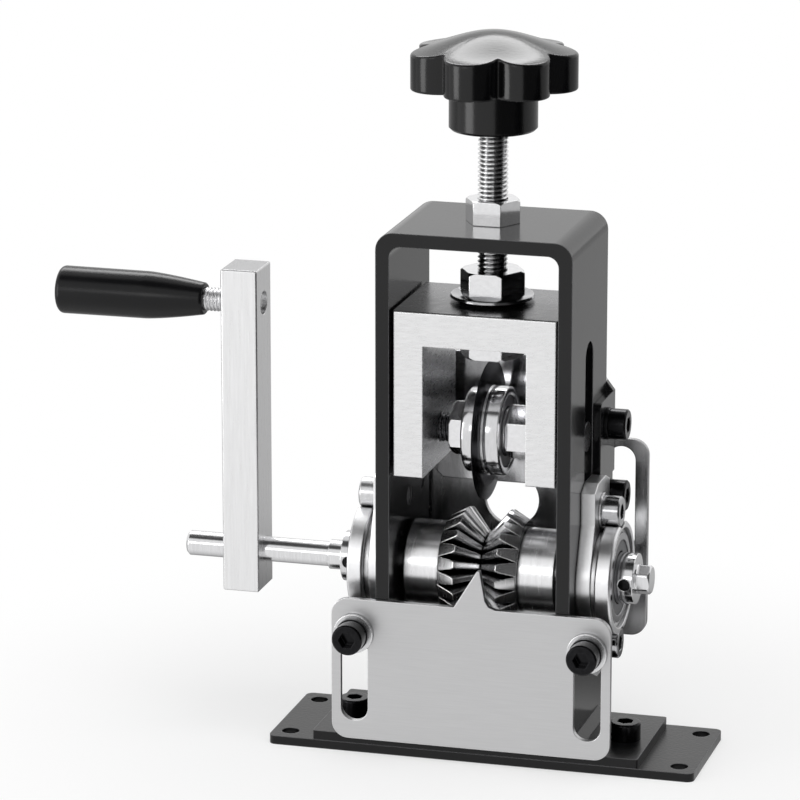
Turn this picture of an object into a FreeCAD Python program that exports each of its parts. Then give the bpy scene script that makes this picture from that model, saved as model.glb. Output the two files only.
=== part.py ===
import FreeCAD, Part
import math
import os

os.makedirs("parts", exist_ok=True)
V = FreeCAD.Vector

# Hand crank wire stripper. Millimetres, +Z up, crank on -X, operator side on -Y.
# The upper works are drawn about the middle of the portal frame; export() moves
# them so that the origin is the middle of the base plate's hole pattern.

# ---- base and riser -------------------------------------------------------
BASE_LENGTH = 146.0
BASE_DEPTH = 47.0
BASE_THICK = 3.0
BASE_CORNER = 2.5
BASE_HOLE_DIA = 6.0
BASE_HOLE_EDGE_X = 6.0
BASE_HOLE_EDGE_Y = 6.5
BASE_SHIFT_X = 2.2
BASE_SHIFT_Y = -1.2
RISER_LENGTH = 111.5
RISER_DEPTH = 45.4
RISER_THICK = 3.2
RISER_SHIFT_X = 0.6
RISER_SHIFT_Y = -1.9
RISER_SCREW_OUT = 14.0
RISER_SCREW_Y = -4.2

# ---- portal frame ---------------------------------------------------------
FRAME_WIDTH = 66.0
FRAME_DEPTH = 50.0
FRAME_TOP = 178.9
FRAME_WALL = 4.6
FRAME_CORNER_OUT = 6.0
FRAME_CORNER_IN = 3.8
WALL_SLOT_WIDTH = 11.0
WALL_SLOT_LOW = 90.2
WALL_SLOT_HIGH = 140.7
WELD_LEG = 3.0

# ---- drive shaft, bearings and feed rollers -------------------------------
SHAFT_Z = 60.7
SHAFT_DIA = 10.0
CRANK_JOURNAL_DIA = 8.4
SHAFT_STEP_OUT = 22.6
DRIVE_HEX = 9.0
DRIVE_HEX_LENGTH = 4.6
HOUSING_BOLT_PITCH = 45.4
HOUSING_WAIST_RADIUS = 17.1
HOUSING_EAR_HALF_WIDTH = 10.4
HOUSING_EAR_BELOW = 2.7
HOUSING_EAR_SHOULDER = 8.3
HOUSING_EAR_TOP = 10.7
HOUSING_EAR_FLAT = 5.0
HOUSING_PLATE_THICK = 4.9
HOUSING_NECK_RADIUS = 16.4
HOUSING_BOSS_FROM = 6.7
HOUSING_BOSS_RADIUS = 18.9
HOUSING_FACE_RADIUS = 16.8
HOUSING_FACE_DEPTH = 1.5
HOUSING_REACH = 12.0
HOUSING_WASHER_RADIUS = 6.0
HOUSING_WASHER_THICK = 0.8
BEARING_RADIUS = 15.0
BEARING_WIDTH = 8.0
RACE_THICK = 2.4
COLLAR_RADIUS = 8.5
COLLAR_REACH = 17.2
CUT_PLANE_X = -0.9
HUB_RADIUS = 14.4
HUB_WALL_GAP = 2.4
GEAR_TIP_RADIUS = 19.9
GEAR_TIP_X = 7.2
GEAR_BACK_X = 13.4
GEAR_BACK_RADIUS = 16.6
GEAR_WAIST_RADIUS = 11.5
GEAR_WAIST_ROOT = 9.0
GEAR_SPACE_WAIST = 1.9
GEAR_SPACE_TIP = 4.1
GEAR_TEETH = 22
ROLLER_GAP = 0.15

# ---- crank ----------------------------------------------------------------
CRANK_OUT = 52.2
CRANK_WIDTH = 12.6
CRANK_DEPTH = 16.0
CRANK_RADIUS = 85.7
CRANK_OVER_SHAFT = 13.3
SHAFT_PAST_CRANK = 20.8
CRANK_OVER_HANDLE = 12.4
STUD_THREAD_DIA = 8.0
STUD_SPINDLE_DIA = 7.0
GRIP_FROM_CRANK = 14.0
GRIP_LENGTH = 53.5
GRIP_HEAD_POCKET = 7.3
GRIP_RADIUS = 8.1
GRIP_NECK_RADIUS = 5.5

# ---- carriage, blade and adjuster -----------------------------------------
BLADE_OVER_SHAFT = 47.5
BLADE_RADIUS = 23.5
BLADE_THICK = 1.6
BLADE_BEARING_RADIUS = 15.0
BLADE_RACE_THICK = 3.0
BLADE_BEARING_LEFT = -4.8
BLADE_BEARING_RIGHT = 6.2
AXLE_DIA = 10.0
AXLE_WALL_INSET = 0.4
AXLE_NUT_AF = 16.0
AXLE_NUT_THICK = 8.0
CARRIAGE_SIDE_GAP = 0.8
CARRIAGE_LEG_WIDTH = 10.2
CARRIAGE_FRONT = -23.35
CARRIAGE_BACK = 18.3
CARRIAGE_UNDER_AXLE = 11.8
CARRIAGE_BAR_UNDER = 33.0
CARRIAGE_BAR_THICK = 11.4
SCREW_DIA = 10.0
CARRIAGE_NUT_AF = 19.0
TOP_NUT_THICK = 9.0
BOTTOM_NUT_THICK = 7.0
DISH_RADIUS = 14.0
DISH_THICK = 1.3
FRAME_NUT_AF = 16.0
FRAME_NUT_THICK = 8.0
KNOB_RADIUS = 28.0
KNOB_LOBES = 7
KNOB_SCALLOP_RADIUS = 7.5
KNOB_VALLEY_RADIUS = 23.4
KNOB_HUB_RADIUS = 14.6
KNOB_HUB_LOW = 31.1
KNOB_HUB_HEIGHT = 11.6
KNOB_RIM_HEIGHT = 13.7
KNOB_DOME = 7.2

# ---- front and rear plates ------------------------------------------------
FRONT_PLATE_OUT = 14.6
REAR_PLATE_OUT = 14.1
PLATE_THICK = 2.0
PLATE_CORNER = 5.5
PLATE_GAP = 0.3
FRONT_SCREW_OUT = 6.8
REAR_SCREW_OUT = 5.0
PLATE_SLOT_WIDTH = 9.4
FRONT_PLATE_LOW = 5.6
FRONT_PLATE_HIGH = 54.3
FRONT_SLOT_LOW = 11.9
FRONT_SLOT_HIGH = 47.5
FRONT_SCREW_Z = 42.6
TOOTH_HEIGHT = 13.0
REAR_PLATE_LOW = 31.9
REAR_PLATE_HIGH = 100.6
REAR_SLOT_LOW = 42.0
REAR_SLOT_HIGH = 98.0
REAR_SCREW_Z = 58.0
GUIDE_HOLE_RADIUS = 9.4
GUIDE_HOLE_Z = 76.7
LUG_LENGTH = 12.4
LUG_HEIGHT = 12.0
FRONT_LUG_DEPTH = 8.0
REAR_LUG_DEPTH = 7.4
BRACKET_THICK = 2.5
BRACKET_FLANGE_FRONT = 6.8
BRACKET_FLANGE_LOW = 77.8
BRACKET_FLANGE_HIGH = 117.6
BRACKET_CORNER = 2.0
BRACKET_WEB_LOW = 83.3
BRACKET_WEB_HIGH = 128.0
BRACKET_CHAMFER = 12.0
BRACKET_SCREW_Y = 16.2
BRACKET_SCREW_LOW = 84.3
BRACKET_SCREW_HIGH = 108.8
BRACKET_WASHER_RADIUS = 5.5

# ---- fasteners ------------------------------------------------------------
M6_RADIUS = 3.0
M6_HEAD_RADIUS = 5.2
M6_HEAD_HEIGHT = 6.0
M6_SOCKET_AF = 5.0
M6_WASHER_RADIUS = 6.7
M6_WASHER_THICK = 1.2
LOCK_WASHER_RADIUS = 5.5
LOCK_WASHER_THICK = 1.6
SET_SCREW_RADIUS = 2.5
COLLAR_SCREW_RADIUS = 2.0
COLLAR_SCREW_SHARE = 0.85
ROLLER_SCREW_LENGTH = 6.5
RUN_FIT = 0.05
SEAT_GAP = 0.3
PIN_PLAY = 0.02
BALL_PLAY = 0.03

# ---- derived --------------------------------------------------------------
FLOOR_Z = BASE_THICK + RISER_THICK
HALF_W = FRAME_WIDTH / 2.0
HALF_D = FRAME_DEPTH / 2.0
INNER_W = HALF_W - FRAME_WALL
BASE_HOLE_X = BASE_LENGTH / 2 - BASE_HOLE_EDGE_X
BASE_HOLE_Y = BASE_DEPTH / 2 - BASE_HOLE_EDGE_Y
RISER_SCREW_X = HALF_W + RISER_SCREW_OUT
CEILING_Z = FRAME_TOP - FRAME_WALL
SHAFT_R = SHAFT_DIA / 2.0
AXLE_R = AXLE_DIA / 2.0
SCREW_R = SCREW_DIA / 2.0
BLADE_Z = SHAFT_Z + BLADE_OVER_SHAFT
HANDLE_Z = SHAFT_Z + CRANK_RADIUS
HEX_FROM = HALF_W + COLLAR_REACH + SEAT_GAP
SHAFT_RIGHT_END = HEX_FROM + DRIVE_HEX_LENGTH
SHAFT_STEP = -HALF_W - SHAFT_STEP_OUT
CRANK_X = -HALF_W - CRANK_OUT
SHAFT_LEFT_END = CRANK_X - SHAFT_PAST_CRANK
GRIP_RIGHT = CRANK_X - GRIP_FROM_CRANK
GRIP_LEFT = GRIP_RIGHT - GRIP_LENGTH
ROLLER_OUT = INNER_W - HUB_WALL_GAP
AXLE_HALF_LENGTH = HALF_W - AXLE_WALL_INSET
CARRIAGE_HALF_WIDTH = INNER_W - CARRIAGE_SIDE_GAP
CARRIAGE_LEG_INNER = CARRIAGE_HALF_WIDTH - CARRIAGE_LEG_WIDTH
FRONT_SCREW_X = HALF_W + FRONT_SCREW_OUT
REAR_SCREW_X = HALF_W + REAR_SCREW_OUT
CARRIAGE_LOW = BLADE_Z - CARRIAGE_UNDER_AXLE
BAR_LOW = BLADE_Z + CARRIAGE_BAR_UNDER
BAR_HIGH = BAR_LOW + CARRIAGE_BAR_THICK
KNOB_LOW = FRAME_TOP + KNOB_HUB_LOW
KNOB_RIM_LOW = KNOB_LOW + KNOB_HUB_HEIGHT
KNOB_RIM_HIGH = KNOB_RIM_LOW + KNOB_RIM_HEIGHT
FRONT_PLATE_BACK = -HALF_D - PLATE_GAP
FRONT_PLATE_FACE = FRONT_PLATE_BACK - PLATE_THICK
REAR_PLATE_FRONT = HALF_D + BRACKET_THICK + PLATE_GAP
REAR_PLATE_BACK = REAR_PLATE_FRONT + PLATE_THICK
BRACKET_SCREWS_Z = (BRACKET_SCREW_LOW, BRACKET_SCREW_HIGH)
HOUSING_BOLTS_Z = (SHAFT_Z - HOUSING_BOLT_PITCH / 2.0, SHAFT_Z + HOUSING_BOLT_PITCH / 2.0)

X = V(1, 0, 0)
Y = V(0, 1, 0)
Z = V(0, 0, 1)


# ---- small helpers --------------------------------------------------------
def box(x0, x1, y0, y1, z0, z1):
    return Part.makeBox(x1 - x0, y1 - y0, z1 - z0, V(x0, y0, z0))


def rod(radius, start, direction, length):
    return Part.makeCylinder(radius, length, start, direction)


def ring(r_out, r_in, start, direction, length):
    return rod(r_out, start, direction, length).cut(rod(r_in, start, direction, length))


def polygon_prism(points, direction):
    wire = Part.makePolygon([V(*p) for p in points] + [V(*points[0])])
    return Part.Face(wire).extrude(direction)


def hex_prism(across_flats, start, direction, length, flat_normal):
    """Hexagonal bar from start along direction, one flat facing flat_normal."""
    corner = across_flats / math.sqrt(3.0)
    side = direction.cross(flat_normal)
    points = []
    for k in range(6):
        a = math.radians(60 * k + 30)
        points.append(start + flat_normal * (corner * math.cos(a)) + side * (corner * math.sin(a)))
    return Part.Face(Part.makePolygon(points + [points[0]])).extrude(direction * length)


def hex_nut(across_flats, bore, start, direction, thick, flat_normal, chamfer_ends=(True, True)):
    """Nut with its corners turned off at the ends that chamfer_ends names."""
    nut = hex_prism(across_flats, start, direction, thick, flat_normal)
    corner = across_flats / math.sqrt(3.0)
    drop = (corner - across_flats / 2.0) * 0.6
    if chamfer_ends[1]:
        cone = Part.makeCone(corner + thick - drop, corner - drop, thick, start, direction)
        nut = nut.common(cone)
    if chamfer_ends[0]:
        end = start + direction * thick
        cone = Part.makeCone(corner + thick - drop, corner - drop, thick, end, direction * -1)
        nut = nut.common(cone)
    return nut.cut(rod(bore, start, direction, thick))


def cap_screw(seat, direction, shank_length, flat_normal, radius=M6_RADIUS,
              head_radius=M6_HEAD_RADIUS, head_height=M6_HEAD_HEIGHT, socket=M6_SOCKET_AF):
    """Socket cap screw: seat is under the head, direction points out of the head."""
    head = rod(head_radius, seat, direction, head_height)
    rim = [e for e in head.Edges if abs((e.CenterOfMass - seat).dot(direction) - head_height) < 1e-6]
    head = head.makeChamfer(0.5, rim)
    well = hex_prism(socket, seat + direction * (head_height * 0.45), direction, head_height, flat_normal)
    shank = rod(radius, seat - direction * shank_length, direction, shank_length)
    return head.cut(well).fuse(shank).removeSplitter()


def rounded_slot(x0, x1, y0, y1, z0, z1):
    """Slot cut in a plate that faces Y, long in Z with half-round ends."""
    r = (x1 - x0) / 2.0
    xm = (x0 + x1) / 2.0
    middle = box(x0, x1, y0, y1, z0 + r, z1 - r)
    low = rod(r, V(xm, y0, z0 + r), Y, y1 - y0)
    high = rod(r, V(xm, y0, z1 - r), Y, y1 - y0)
    return middle.fuse(low).fuse(high)


def fillet_edges(solid, radius, keep):
    return solid.makeFillet(radius, [e for e in solid.Edges if keep(e)])


def is_along(edge, direction):
    if len(edge.Vertexes) != 2:
        return False
    d = edge.Vertexes[1].Point - edge.Vertexes[0].Point
    return d.Length > 1e-6 and abs(abs(d.normalize().dot(direction)) - 1.0) < 1e-6


def group(shapes):
    return Part.makeCompound(shapes)


NODES = {}


def export(name, shape):
    moved = shape.copy()
    moved.translate(V(-BASE_SHIFT_X, -BASE_SHIFT_Y, 0))
    moved.exportStep("parts/%s.step" % name)
    NODES[name] = moved


# ---- base -----------------------------------------------------------------
def riser_screw_points():
    x = RISER_SCREW_X
    return [V(RISER_SHIFT_X - x, RISER_SCREW_Y, 0), V(RISER_SHIFT_X + x, RISER_SCREW_Y, 0)]


def make_base_plate():
    x, y = BASE_SHIFT_X, BASE_SHIFT_Y
    long, deep = BASE_LENGTH / 2, BASE_DEPTH / 2
    plate = box(x - long, x + long, y - deep, y + deep, 0, BASE_THICK)
    plate = fillet_edges(plate, BASE_CORNER, lambda e: is_along(e, Z))
    for sx in (-1, 1):
        for sy in (-1, 1):
            centre = V(x + sx * BASE_HOLE_X, y + sy * BASE_HOLE_Y, 0)
            plate = plate.cut(rod(BASE_HOLE_DIA / 2, centre, Z, BASE_THICK))
    for point in riser_screw_points():
        plate = plate.cut(rod(M6_RADIUS, point, Z, BASE_THICK))
    return plate


def make_riser_plate():
    x, y = RISER_SHIFT_X, RISER_SHIFT_Y
    plate = box(x - RISER_LENGTH / 2, x + RISER_LENGTH / 2, y - RISER_DEPTH / 2, y + RISER_DEPTH / 2,
                BASE_THICK, FLOOR_Z)
    plate = fillet_edges(plate, 1.0, lambda e: is_along(e, Z))
    for point in riser_screw_points():
        plate = plate.cut(rod(M6_RADIUS, point, Z, FLOOR_Z))
    return plate


def make_riser_screws():
    length = FLOOR_Z - 0.4
    return group([cap_screw(p + Z * FLOOR_Z, Z, length, X) for p in riser_screw_points()])


# ---- portal frame ---------------------------------------------------------
def make_portal_frame():
    outer = box(-HALF_W, HALF_W, -HALF_D, HALF_D, FLOOR_Z, FRAME_TOP)
    outer = fillet_edges(outer, FRAME_CORNER_OUT,
                         lambda e: is_along(e, Y) and e.CenterOfMass.z > FRAME_TOP - 1)
    inner = box(-INNER_W, INNER_W, -HALF_D - 1, HALF_D + 1, FLOOR_Z - 1, CEILING_Z)
    inner = fillet_edges(inner, FRAME_CORNER_IN,
                         lambda e: is_along(e, Y) and e.CenterOfMass.z > CEILING_Z - 1)
    frame = outer.cut(inner)
    half = WALL_SLOT_WIDTH / 2
    slot = box(-HALF_W - 1, HALF_W + 1, -half, half, WALL_SLOT_LOW + half, WALL_SLOT_HIGH - half)
    for z in (WALL_SLOT_LOW + half, WALL_SLOT_HIGH - half):
        slot = slot.fuse(rod(half, V(-HALF_W - 1, 0, z), X, FRAME_WIDTH + 2))
    frame = frame.cut(slot)
    frame = frame.cut(rod(SHAFT_R + 2.0, V(-HALF_W - 1, 0, SHAFT_Z), X, FRAME_WIDTH + 2))
    frame = frame.cut(rod(SCREW_R + 0.5, V(0, 0, CEILING_Z - 1), Z, FRAME_WALL + 2))
    for z in HOUSING_BOLTS_Z:
        frame = frame.cut(rod(M6_RADIUS, V(-HALF_W - 1, 0, z), X, FRAME_WIDTH + 2))
    for z in BRACKET_SCREWS_Z:
        frame = frame.cut(rod(M6_RADIUS, V(-HALF_W - 1, BRACKET_SCREW_Y, z), X, FRAME_WIDTH + 2))
    return frame


def make_frame_welds():
    beads = []
    y0 = RISER_SHIFT_Y - RISER_DEPTH / 2 + 2
    y1 = RISER_SHIFT_Y + RISER_DEPTH / 2 - 2
    for s in (-1, 1):
        foot = [(s * HALF_W, y0, FLOOR_Z), (s * (HALF_W + WELD_LEG), y0, FLOOR_Z),
                (s * HALF_W, y0, FLOOR_Z + WELD_LEG)]
        beads.append(polygon_prism(foot, V(0, y1 - y0, 0)))
    return group(beads)


def lug(side, y0, y1, screw_x, z):
    x0, x1 = sorted((side * HALF_W, side * (HALF_W + LUG_LENGTH)))
    block = box(x0, x1, y0, y1, z - LUG_HEIGHT / 2, z + LUG_HEIGHT / 2)
    outer = side * (HALF_W + LUG_LENGTH)
    block = fillet_edges(block, 2.0, lambda e: is_along(e, Y) and abs(e.CenterOfMass.x - outer) < 0.1)
    return block.cut(rod(M6_RADIUS, V(side * screw_x, y0 - 1, z), Y, y1 - y0 + 2))


def make_front_lugs():
    return group([lug(s, -HALF_D, -HALF_D + FRONT_LUG_DEPTH, FRONT_SCREW_X, FRONT_SCREW_Z) for s in (-1, 1)])


def make_rear_lugs():
    back = HALF_D + BRACKET_THICK
    return group([lug(s, back - REAR_LUG_DEPTH, back, REAR_SCREW_X, REAR_SCREW_Z) for s in (-1, 1)])


# ---- front and rear plates ------------------------------------------------
def make_front_splitter_plate():
    top = FRONT_PLATE_HIGH
    w = HALF_W + FRONT_PLATE_OUT
    y = FRONT_PLATE_FACE
    plate = box(-w, w, y, FRONT_PLATE_BACK, FRONT_PLATE_LOW, top)
    plate = fillet_edges(plate, PLATE_CORNER, lambda e: is_along(e, Y))
    tooth = polygon_prism([(-7.6, y, top - 2), (-5.6, y, top), (2.3, y, top + TOOTH_HEIGHT),
                           (3.1, y, top + TOOTH_HEIGHT), (4.9, y, top + 3.0), (6.2, y, top + 0.9),
                           (8.6, y, top), (9.6, y, top - 2)], V(0, PLATE_THICK, 0))
    plate = plate.fuse(tooth).removeSplitter()
    for s in (-1, 1):
        x = s * FRONT_SCREW_X
        slot = rounded_slot(x - PLATE_SLOT_WIDTH / 2, x + PLATE_SLOT_WIDTH / 2, y - 1, FRONT_PLATE_BACK + 1,
                            FRONT_SLOT_LOW, FRONT_SLOT_HIGH)
        plate = plate.cut(slot)
    return plate


def make_rear_guide_plate():
    w = HALF_W + REAR_PLATE_OUT
    plate = box(-w, w, REAR_PLATE_FRONT, REAR_PLATE_BACK, REAR_PLATE_LOW, REAR_PLATE_HIGH)
    plate = fillet_edges(plate, PLATE_CORNER, lambda e: is_along(e, Y))
    for s in (-1, 1):
        x = s * REAR_SCREW_X
        slot = rounded_slot(x - PLATE_SLOT_WIDTH / 2, x + PLATE_SLOT_WIDTH / 2, REAR_PLATE_FRONT - 1,
                            REAR_PLATE_BACK + 1, REAR_SLOT_LOW, REAR_SLOT_HIGH)
        plate = plate.cut(slot)
    return plate.cut(rod(GUIDE_HOLE_RADIUS, V(0, REAR_PLATE_FRONT - 1, GUIDE_HOLE_Z), Y, PLATE_THICK + 2))


def plate_washers(screw_x, face_y, out, z, r_out, thick):
    return group([ring(r_out, M6_RADIUS, V(s * screw_x, face_y, z), Y * out, thick) for s in (-1, 1)])


def make_front_fasteners():
    face = FRONT_PLATE_FACE - PLATE_GAP
    flat = plate_washers(FRONT_SCREW_X, face, -1, FRONT_SCREW_Z, M6_WASHER_RADIUS, M6_WASHER_THICK)
    export("front_plate_washers", flat)
    face -= M6_WASHER_THICK
    lock = plate_washers(FRONT_SCREW_X, face, -1, FRONT_SCREW_Z, LOCK_WASHER_RADIUS, LOCK_WASHER_THICK)
    export("front_plate_lock_washers", lock)
    face -= LOCK_WASHER_THICK
    length = -HALF_D + FRONT_LUG_DEPTH - face
    screws = [cap_screw(V(s * FRONT_SCREW_X, face, FRONT_SCREW_Z), Y * -1, length, Z) for s in (-1, 1)]
    export("front_plate_screws", group(screws))


def make_rear_fasteners():
    face = REAR_PLATE_BACK + PLATE_GAP
    flat = plate_washers(REAR_SCREW_X, face, 1, REAR_SCREW_Z, M6_WASHER_RADIUS, M6_WASHER_THICK)
    export("rear_plate_washers", flat)
    face += M6_WASHER_THICK
    length = face - (HALF_D + BRACKET_THICK - REAR_LUG_DEPTH)
    screws = [cap_screw(V(s * REAR_SCREW_X, face, REAR_SCREW_Z), Y, length, Z) for s in (-1, 1)]
    export("rear_plate_screws", group(screws))


def make_rear_bracket():
    """Sheet behind the frame; its side flanges are cut back to clear the bearing housings."""
    y0 = HALF_D
    y1 = HALF_D + BRACKET_THICK
    w = HALF_W + BRACKET_THICK
    low, c = BRACKET_WEB_LOW, BRACKET_CHAMFER
    web = polygon_prism([(-w + c, y0, low), (w - c, y0, low), (w, y0, low + c), (w, y0, BRACKET_FLANGE_HIGH),
                         (w - 8, y0, BRACKET_WEB_HIGH), (-w + 8, y0, BRACKET_WEB_HIGH),
                         (-w, y0, BRACKET_FLANGE_HIGH), (-w, y0, low + c)], V(0, BRACKET_THICK, 0))
    bracket = web
    for s in (-1, 1):
        x0, x1 = sorted((s * HALF_W, s * w))
        flange = box(x0, x1, BRACKET_FLANGE_FRONT, y0, BRACKET_FLANGE_LOW, BRACKET_FLANGE_HIGH)
        flange = fillet_edges(flange, BRACKET_CORNER, lambda e: is_along(e, X) and e.CenterOfMass.y < y0 - 1
                              and e.CenterOfMass.z > BRACKET_FLANGE_HIGH - 1)
        ends = box(x0, x1, y0, y1, BRACKET_FLANGE_LOW + c, BRACKET_FLANGE_HIGH)
        bracket = bracket.fuse(flange).fuse(ends)
        bracket = bracket.cut(housing_plate(s, BRACKET_THICK + 1, SEAT_GAP))
    bracket = bracket.removeSplitter()
    for z in BRACKET_SCREWS_Z:
        bracket = bracket.cut(rod(M6_RADIUS, V(-w - 1, BRACKET_SCREW_Y, z), X, 2 * w + 2))
    return bracket


def make_rear_bracket_washers():
    rings = []
    for s in (-1, 1):
        for z in BRACKET_SCREWS_Z:
            seat = V(s * (HALF_W + BRACKET_THICK), BRACKET_SCREW_Y, z)
            rings.append(ring(BRACKET_WASHER_RADIUS, M6_RADIUS, seat, X * s, M6_WASHER_THICK))
    return group(rings)


def make_rear_bracket_screws():
    seat = HALF_W + BRACKET_THICK + M6_WASHER_THICK
    length = M6_WASHER_THICK + BRACKET_THICK + FRAME_WALL - 0.3
    screws = []
    for s in (-1, 1):
        for z in BRACKET_SCREWS_Z:
            screws.append(cap_screw(V(s * seat, BRACKET_SCREW_Y, z), X * s, length, Z))
    return group(screws)


# ---- shaft bearings -------------------------------------------------------
def housing_plate(side, thick, grow=0.0):
    """Plate of a bearing housing, round with two square-shouldered ears, or that outline grown all round."""
    out = X * side
    start = V(side * HALF_W, 0, SHAFT_Z)
    r, e = HOUSING_WAIST_RADIUS + grow, HOUSING_EAR_HALF_WIDTH + grow
    bolt = HOUSING_BOLT_PITCH / 2
    foot = bolt - HOUSING_EAR_BELOW
    touch = math.atan2(foot, e) - math.acos(r / math.hypot(foot, e))
    right = [(r * math.cos(touch), r * math.sin(touch)), (e, foot), (e, bolt + HOUSING_EAR_SHOULDER + grow),
             (HOUSING_EAR_FLAT, bolt + HOUSING_EAR_TOP + grow)]
    outline = right + [(-y, z) for y, z in reversed(right)]
    plate = rod(r, start, out, thick)
    for sz in (-1, 1):
        plate = plate.fuse(polygon_prism([(start.x, y, SHAFT_Z + sz * z) for y, z in outline], out * thick))
    return plate.removeSplitter()


def make_bearing_housing(side):
    """Eared plate, a neck and a round boss, whose counterbored face holds the bearing."""
    out = X * side
    start = V(side * HALF_W, 0, SHAFT_Z)
    bolts = [start + Z * (sz * HOUSING_BOLT_PITCH / 2) for sz in (-1, 1)]
    boss = rod(HOUSING_BOSS_RADIUS, start + out * HOUSING_BOSS_FROM, out, HOUSING_REACH - HOUSING_BOSS_FROM)
    boss = boss.makeChamfer(0.5, [e for e in boss.Edges if e.isClosed()])
    for bolt in bolts:
        boss = boss.cut(rod(M6_HEAD_RADIUS + SEAT_GAP, bolt, out, HOUSING_REACH + 1))
    neck = rod(HOUSING_NECK_RADIUS, start, out, HOUSING_REACH - HOUSING_FACE_DEPTH)
    body = housing_plate(side, HOUSING_PLATE_THICK).fuse(neck).fuse(boss).removeSplitter()
    body = body.cut(rod(BEARING_RADIUS - RACE_THICK, start - out, out, HOUSING_REACH + 2))
    body = body.cut(rod(BEARING_RADIUS, bearing_start(side), out, BEARING_WIDTH + 1))
    face = start + out * (HOUSING_REACH - HOUSING_FACE_DEPTH)
    body = body.cut(rod(HOUSING_FACE_RADIUS, face, out, HOUSING_FACE_DEPTH + 1))
    for bolt in bolts:
        body = body.cut(rod(M6_RADIUS, bolt - out, out, HOUSING_REACH))
    return body


def make_housing_screws(side):
    seat = HALF_W + HOUSING_PLATE_THICK + HOUSING_WASHER_THICK
    length = HOUSING_WASHER_THICK + HOUSING_PLATE_THICK + FRAME_WALL - 0.3
    return group([cap_screw(V(side * seat, 0, z), X * side, length, Z) for z in HOUSING_BOLTS_Z])


def make_housing_washers():
    rings = []
    for s in (-1, 1):
        for z in HOUSING_BOLTS_Z:
            start = V(s * (HALF_W + HOUSING_PLATE_THICK), 0, z)
            rings.append(ring(HOUSING_WASHER_RADIUS, M6_RADIUS, start, X * s, HOUSING_WASHER_THICK))
    return group(rings)


def bearing_start(side):
    return V(side * (HALF_W + HOUSING_REACH - BEARING_WIDTH), 0, SHAFT_Z)


def make_bearing_outer_rings():
    rings = []
    for s in (-1, 1):
        rings.append(ring(BEARING_RADIUS, BEARING_RADIUS - RACE_THICK, bearing_start(s), X * s,
                          BEARING_WIDTH - 0.6))
    return group(rings)


def ball_pitch():
    inner = SHAFT_R + RACE_THICK
    outer = BEARING_RADIUS - RACE_THICK
    return (inner + outer) / 2.0, (outer - inner) / 2.0 - BALL_PLAY


def bearing_ball(radius, centre):
    """Ball turned from a ten-sided outline: the shields hide it, so it needs few faces."""
    angles = [math.radians(36 * k - 90) for k in range(6)]
    points = [V(radius * math.cos(a), 0, radius * math.sin(a)) for a in angles]
    ball = Part.Face(Part.makePolygon(points + [points[0]])).revolve(V(0, 0, 0), Z, 360)
    ball.translate(centre)
    return ball


def make_shaft_bearing_balls():
    pitch, radius = ball_pitch()
    balls = []
    for s in (-1, 1):
        middle = bearing_start(s) + X * (s * (BEARING_WIDTH - 0.6) / 2)
        for k in range(8):
            a = math.radians(45 * k)
            balls.append(bearing_ball(radius, middle + V(0, pitch * math.cos(a), pitch * math.sin(a))))
    return group(balls)


def make_shaft_bearing_shields():
    rings = []
    for s in (-1, 1):
        start = bearing_start(s) + X * (s * (BEARING_WIDTH - 1.5))
        rings.append(ring(BEARING_RADIUS - RACE_THICK, COLLAR_RADIUS + 0.4, start, X * s, 0.5))
    return group(rings)


def make_shaft_bearing_inner_rings():
    rings = []
    for s in (-1, 1):
        start = bearing_start(s)
        length = HALF_W + COLLAR_REACH - abs(start.x)
        race = ring(SHAFT_R + RACE_THICK, SHAFT_R, start, X * s, length)
        collar_at = start + X * (s * (BEARING_WIDTH - 2.0))
        collar = ring(COLLAR_RADIUS, SHAFT_R, collar_at, X * s, length - (BEARING_WIDTH - 2.0))
        start = V(s * (HALF_W + COLLAR_REACH - 2.8), 0, SHAFT_Z)
        hole = rod(COLLAR_SCREW_RADIUS, start, Y * -1, COLLAR_RADIUS + 1)
        rings.append(race.fuse(collar).cut(hole).removeSplitter())
    return group(rings)


def make_collar_set_screws():
    screws = []
    for s in (-1, 1):
        start = V(s * (HALF_W + COLLAR_REACH - 2.8), -SHAFT_R - PIN_PLAY, SHAFT_Z)
        screws.append(rod(COLLAR_SCREW_RADIUS, start, Y * -1, (COLLAR_RADIUS - SHAFT_R) * COLLAR_SCREW_SHARE))
    return group(screws)


# ---- drive ----------------------------------------------------------------
def make_drive_shaft():
    main = rod(SHAFT_R, V(SHAFT_STEP, 0, SHAFT_Z), X, HEX_FROM - SHAFT_STEP)
    journal = rod(CRANK_JOURNAL_DIA / 2, V(SHAFT_LEFT_END, 0, SHAFT_Z), X, SHAFT_STEP - SHAFT_LEFT_END)
    left_rim = [e for e in journal.Edges if abs(e.CenterOfMass.x - SHAFT_LEFT_END) < 1e-6]
    journal = journal.makeChamfer(0.8, left_rim)
    tip = hex_prism(DRIVE_HEX, V(HEX_FROM, 0, SHAFT_Z), X, DRIVE_HEX_LENGTH, Y)
    blank = rod(SHAFT_R, V(HEX_FROM, 0, SHAFT_Z), X, DRIVE_HEX_LENGTH)
    right_rim = [e for e in blank.Edges if abs(e.CenterOfMass.x - SHAFT_RIGHT_END) < 1e-6]
    tip = tip.common(blank.makeChamfer(0.7, right_rim))
    return main.fuse(journal).fuse(tip).removeSplitter()


def flat_sided_wedge(a, b):
    """Solid between two triangles, every side split into flat triangles."""
    corners = [a, b, (a[1], a[2], b[2]), (a[1], b[2], b[1]), (a[0], a[1], b[1]), (a[0], b[1], b[0]),
               (a[0], a[2], b[2]), (a[0], b[2], b[0])]
    faces = [Part.Face(Part.makePolygon([c[0], c[1], c[2], c[0]])) for c in corners]
    return Part.Solid(Part.Shell(faces))


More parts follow.
